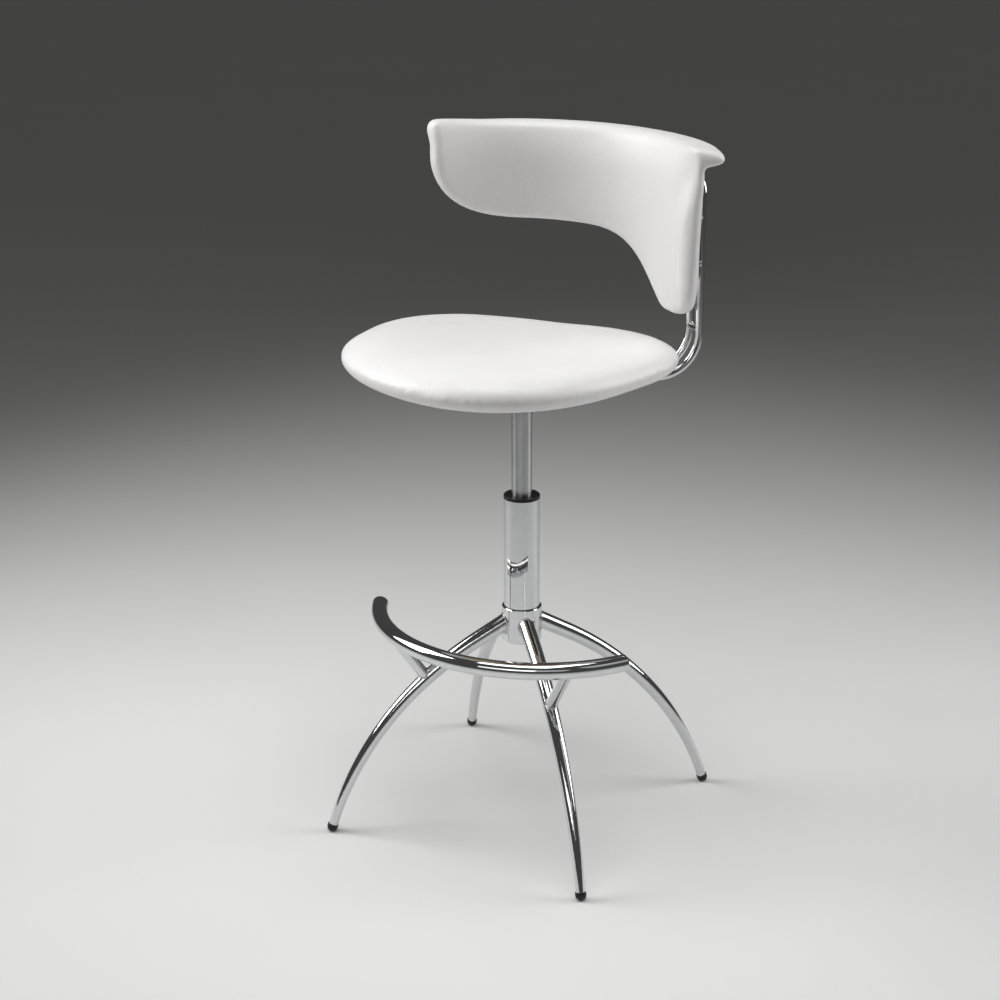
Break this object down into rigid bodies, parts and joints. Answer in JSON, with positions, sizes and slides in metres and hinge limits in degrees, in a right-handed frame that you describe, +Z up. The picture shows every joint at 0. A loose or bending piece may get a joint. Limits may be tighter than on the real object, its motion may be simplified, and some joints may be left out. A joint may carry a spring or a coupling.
{
  "type": "adjustable swivel stool",
  "caption": "Height-adjustable swivel stool: arched tubular legs, curved footrest, gas column, three-lobed cushion and a one-sided wrap-round backrest.",
  "frame": {"origin": "on the floor under the column's axis", "axes": "+Z up along the column; the footrest's middle faces -Y, and the backrest's hoop stands on the +X+Y diagonal"},
  "size_m": [0.4861, 0.486, 0.9545],
  "materials": {
    "chrome": "mirror polished",
    "black_plastic": "fine matt",
    "satin_steel": "ground satin",
    "steel": "ground",
    "black_steel": "satin powder coat",
    "aluminium": "machined",
    "zinc_screws": "zinc plated",
    "rubber": "matt",
    "plywood": "unfinished ply",
    "white_leather": "smooth fine grain"
  },
  "bodies": {
    "base": {"hub": "chrome", "footrest": "chrome", "footrest_strut_left": "chrome", "footrest_strut_right": "chrome", "footrest_plug_left": "chrome", "footrest_plug_right": "chrome", "column_tube": "chrome", "column_sleeve": "black_plastic", "column_base_disc": "steel", "guide_bushing": "black_plastic", "bearing_lower_race": "steel", "leg_front_left": "chrome", "leg_front_right": "chrome", "leg_back_right": "chrome", "leg_back_left": "chrome", "glide_front_left": "black_plastic", "glide_front_right": "black_plastic", "glide_back_right": "black_plastic", "glide_back_left": "black_plastic"},
    "lift_rod": {"piston_rod": "steel", "piston": "steel", "rod_clip": "steel", "bearing_upper_race": "steel", "bearing_balls": "steel", "bump_stop": "rubber"},
    "seat": {"pressure_cylinder": "satin_steel", "cylinder_gland": "steel", "taper_socket": "black_steel", "mechanism_housing": "black_steel", "seat_plate": "black_steel", "seat_bolts": "zinc_screws", "lever_pivot_pin": "steel", "seat_cushion": "white_leather", "seat_board": "plywood", "back_hoop": "chrome", "hoop_tie": "chrome", "hoop_clamp_lower": "aluminium", "hoop_clamp_upper": "aluminium", "clamp_screws": "zinc_screws", "backrest_pad": "white_leather", "backrest_panel": "white_leather", "backrest_bracket": "black_steel", "backrest_screws": "zinc_screws"},
    "lever": {"release_lever": "steel", "lever_grip": "black_plastic"},
    "valve": {"valve_pin": "steel"}
  },
  "joints": [
    {"name": "seat_swivel", "type": "hinge", "parent": "base", "child": "lift_rod", "pos_m": [0, 0, 0.47], "axis": [0, 0, 1], "continuous": true},
    {"name": "seat_height", "type": "slide", "parent": "lift_rod", "child": "seat", "axis": [0, 0, 1], "range_m": [-0.115, 0.02]},
    {"name": "lever_pull", "type": "hinge", "parent": "seat", "child": "lever", "pos_m": [-0.01768, 0.01768, 0.6322], "axis": [0.7071, 0.7071, 0], "range_deg": [0, 5], "stiffness_Nm_per_rad": 6, "springref_deg": -2.86},
    {"name": "valve_press", "type": "slide", "parent": "seat", "child": "valve", "axis": [0, 0, 1], "range_m": [-0.00227, 0]}
  ],
  "couplings": [
    {"joint": "valve_press", "follows": "lever_pull", "m_per_rad": -0.026}
  ]
}
